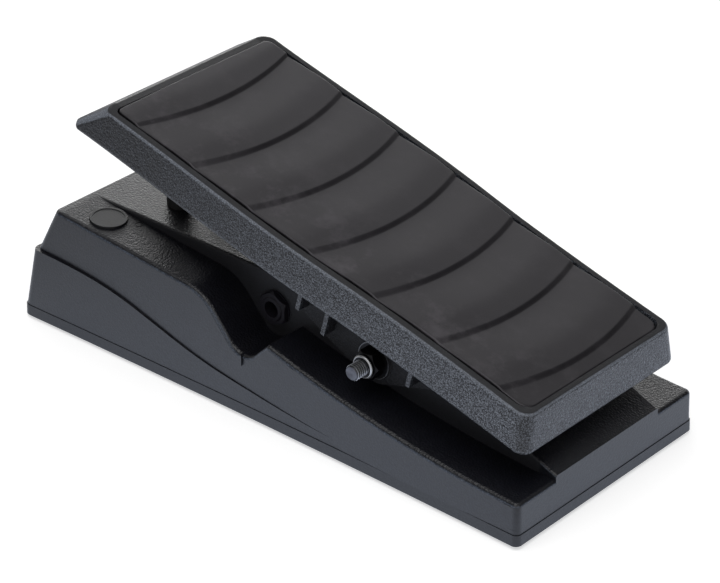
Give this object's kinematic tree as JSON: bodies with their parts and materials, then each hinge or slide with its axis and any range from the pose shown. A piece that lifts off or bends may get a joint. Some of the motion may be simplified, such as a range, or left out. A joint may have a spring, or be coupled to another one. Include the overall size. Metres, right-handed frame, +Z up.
{
  "type": "rocker foot pedal",
  "caption": "Rocker foot pedal: tilting treadle with a stepped mat on a low moulded base, gear-driven potentiometer, side sockets.",
  "frame": {"origin": "on the floor under the middle of the base's length and width", "axes": "+X from the toe end to the heel end, +Z up, -Y towards the side with the bolt's lock nut"},
  "size_m": [0.2432, 0.1006, 0.0998],
  "materials": {
    "base_shell": "fine moulded grain, charcoal",
    "bottom_cover": "fine moulded grain, charcoal",
    "rubber_feet": "matt black",
    "cover_screws": "zinc plated",
    "deck_pads": "matt",
    "toe_bumpers": "matt black",
    "heel_bumpers": "matt black",
    "output_jack": "moulded black",
    "input_jack": "moulded black",
    "jack_washers": "plain",
    "jack_nuts": "moulded black",
    "pivot_bushes": "natural",
    "pot_bracket": "zinc plated",
    "potentiometer": "pressed can",
    "pot_nut": "plated",
    "circuit_board": "green lacquer",
    "board_parts": "moulded",
    "inner_screws": "zinc plated",
    "treadle_shell": "fine moulded grain, charcoal",
    "tread_mat": "satin near black",
    "pivot_bolt": "zinc plated",
    "lock_nut": "black oxide",
    "bolt_washers": "black oxide",
    "gear_sector": "natural acetal",
    "sector_screw": "black oxide",
    "pot_shaft": "turned",
    "pinion": "natural acetal"
  },
  "bodies": {
    "base": {"base_shell": "base_shell", "bottom_cover": "bottom_cover", "rubber_feet": "rubber_feet", "cover_screws": "cover_screws", "deck_pads": "deck_pads", "toe_bumpers": "toe_bumpers", "heel_bumpers": "heel_bumpers", "output_jack": "output_jack", "input_jack": "input_jack", "jack_washers": "jack_washers", "jack_nuts": "jack_nuts", "pivot_bushes": "pivot_bushes", "pot_bracket": "pot_bracket", "potentiometer": "potentiometer", "pot_nut": "pot_nut", "circuit_board": "circuit_board", "board_parts": "board_parts", "inner_screws": "inner_screws"},
    "treadle": {"treadle_shell": "treadle_shell", "tread_mat": "tread_mat", "pivot_bolt": "pivot_bolt", "lock_nut": "lock_nut", "bolt_washers": "bolt_washers", "gear_sector": "gear_sector", "sector_screw": "sector_screw"},
    "pot_rotor": {"pot_shaft": "pot_shaft", "pinion": "pinion"}
  },
  "joints": [
    {"name": "treadle_hinge", "type": "hinge", "parent": "base", "child": "treadle", "pos_m": [0.0432, 0, 0.0372], "axis": [0, -1, 0], "range_deg": [0, 13.9]},
    {"name": "pot_spin", "type": "hinge", "parent": "base", "child": "pot_rotor", "pos_m": [0.00513, 0, 0.01945], "axis": [0, -1, 0], "range_deg": [-84, 0]}
  ],
  "couplings": [
    {"joint": "pot_spin", "follows": "treadle_hinge", "ratio": -6}
  ]
}
